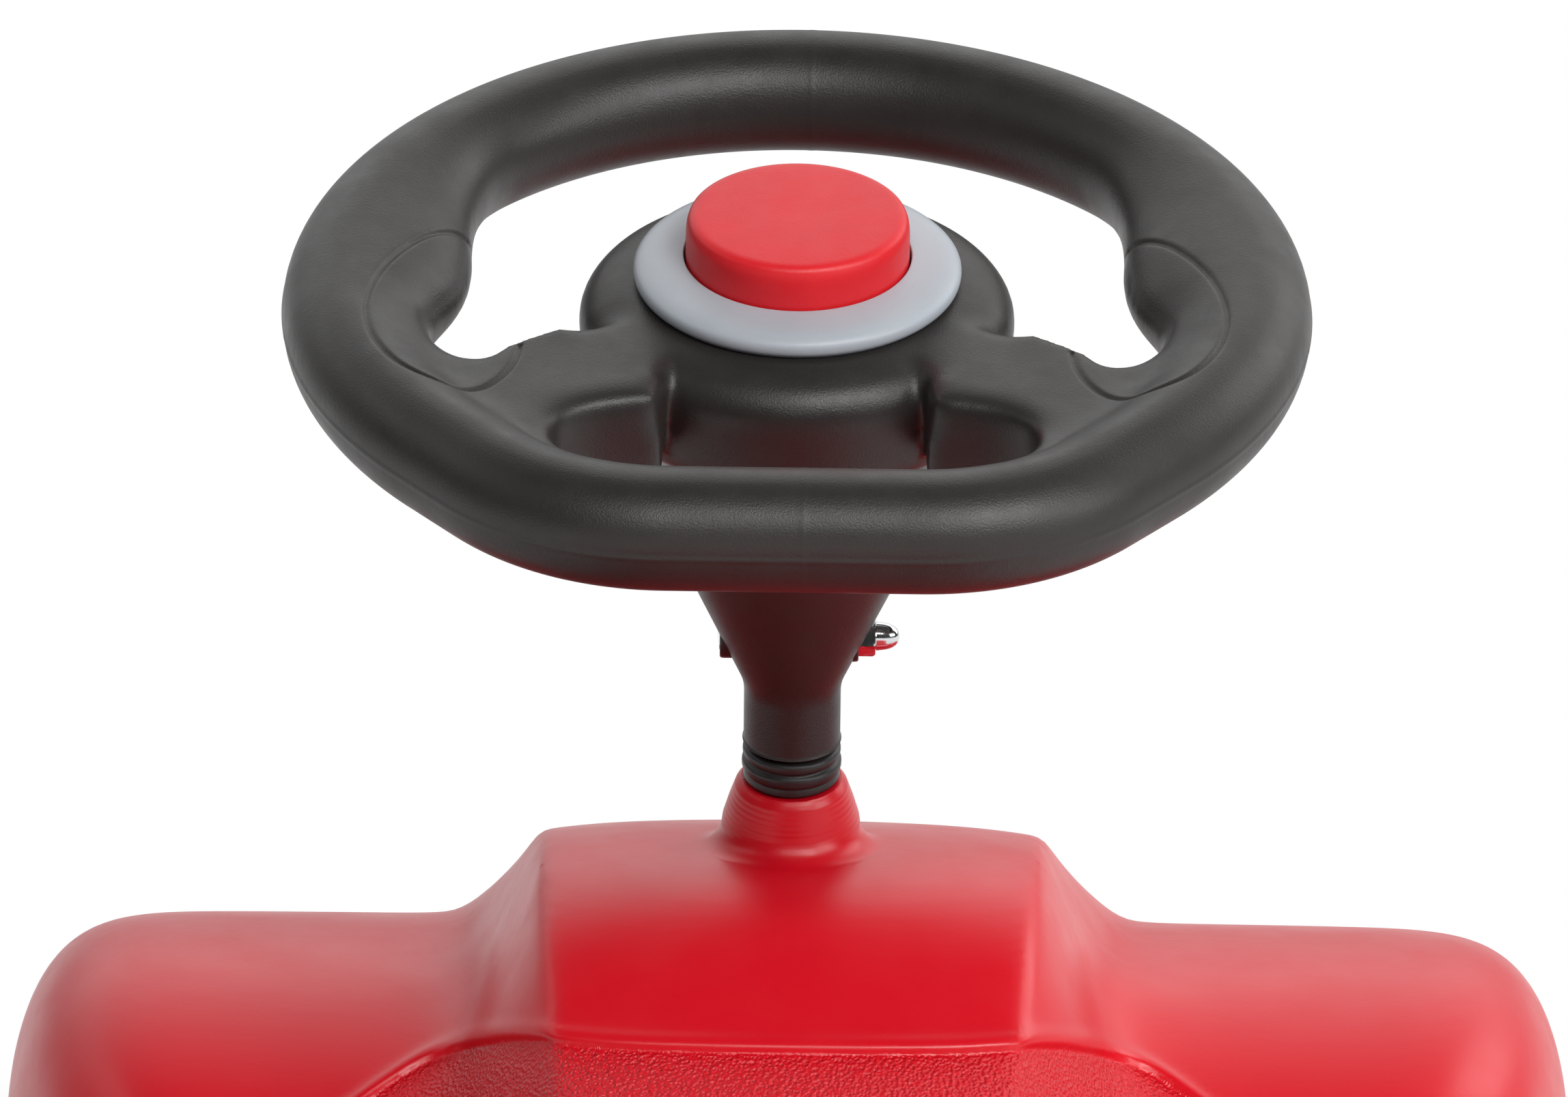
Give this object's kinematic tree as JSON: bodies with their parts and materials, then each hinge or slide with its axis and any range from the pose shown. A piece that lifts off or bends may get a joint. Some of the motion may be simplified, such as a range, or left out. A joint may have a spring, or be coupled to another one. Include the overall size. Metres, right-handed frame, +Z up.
{
  "type": "ride-on toy car",
  "caption": "Child's foot-to-floor ride-on car: blow-moulded saddle body, steered front axle on a raked column, D-shaped steering wheel with a squeeze horn, free-running wheels.",
  "frame": {"origin": "on the ground, under the middle of the body's length and width", "axes": "+Z up, +Y forwards towards the bonnet, +X to the rider's right"},
  "size_m": [0.3066, 0.5985, 0.3989],
  "materials": {
    "shell": "satin gloss, blow moulded, grained on the seat",
    "button": "satin",
    "grip": "fine matt moulding",
    "bush": "smooth satin",
    "ring": "satin",
    "bright_steel": "bright plated",
    "dull_steel": "drawn bar",
    "tyre": "matt",
    "cap": "satin",
    "bellows": "matt",
    "lens": "gloss"
  },
  "bodies": {
    "chassis": {"body_shell": "shell", "column_collar": "bush", "lower_bush": "bush", "lamp_lens_left": "lens", "lamp_lens_right": "lens", "rear_axle": "dull_steel", "rear_left_spacer": "bush", "rear_left_washer": "dull_steel", "rear_left_axle_retainer": "bright_steel", "rear_right_spacer": "bush", "rear_right_washer": "dull_steel", "rear_right_axle_retainer": "bright_steel"},
    "steering": {"steering_wheel": "grip", "horn_ring": "ring", "horn_base": "bush", "horn_bellows": "bellows", "horn_reed": "ring", "clamp_bolt": "bright_steel", "cap_nut": "bright_steel", "steering_rod": "dull_steel", "axle_cross_tube": "dull_steel", "front_axle": "dull_steel", "front_left_spacer": "bush", "front_left_washer": "dull_steel", "front_left_axle_retainer": "bright_steel", "front_right_spacer": "bush", "front_right_washer": "dull_steel", "front_right_axle_retainer": "bright_steel"},
    "horn_button": {"horn_button": "button"},
    "front_left_wheel": {"front_left_disc": "grip", "front_left_tyre": "tyre", "front_left_hub_cap": "cap"},
    "front_right_wheel": {"front_right_disc": "grip", "front_right_tyre": "tyre", "front_right_hub_cap": "cap"},
    "rear_left_wheel": {"rear_left_disc": "grip", "rear_left_tyre": "tyre", "rear_left_hub_cap": "cap"},
    "rear_right_wheel": {"rear_right_disc": "grip", "rear_right_tyre": "tyre", "rear_right_hub_cap": "cap"}
  },
  "joints": [
    {"name": "steer", "type": "hinge", "parent": "chassis", "child": "steering", "pos_m": [0, 0.175, 0.06], "axis": [0, -0.2588, 0.9659], "range_deg": [-20, 20]},
    {"name": "horn_press", "type": "slide", "parent": "steering", "child": "horn_button", "axis": [0, 0.2588, -0.9659], "range_m": [0, 0.006], "stiffness_N_per_m": 400, "deforming": ["horn_bellows"]},
    {"name": "front_left_spin", "type": "hinge", "parent": "steering", "child": "front_left_wheel", "pos_m": [-0.106, 0.175, 0.06], "axis": [1, 0, 0], "continuous": true},
    {"name": "front_right_spin", "type": "hinge", "parent": "steering", "child": "front_right_wheel", "pos_m": [0.106, 0.175, 0.06], "axis": [1, 0, 0], "continuous": true},
    {"name": "rear_left_spin", "type": "hinge", "parent": "chassis", "child": "rear_left_wheel", "pos_m": [-0.106, -0.19, 0.06], "axis": [1, 0, 0], "continuous": true},
    {"name": "rear_right_spin", "type": "hinge", "parent": "chassis", "child": "rear_right_wheel", "pos_m": [0.106, -0.19, 0.06], "axis": [1, 0, 0], "continuous": true}
  ]
}
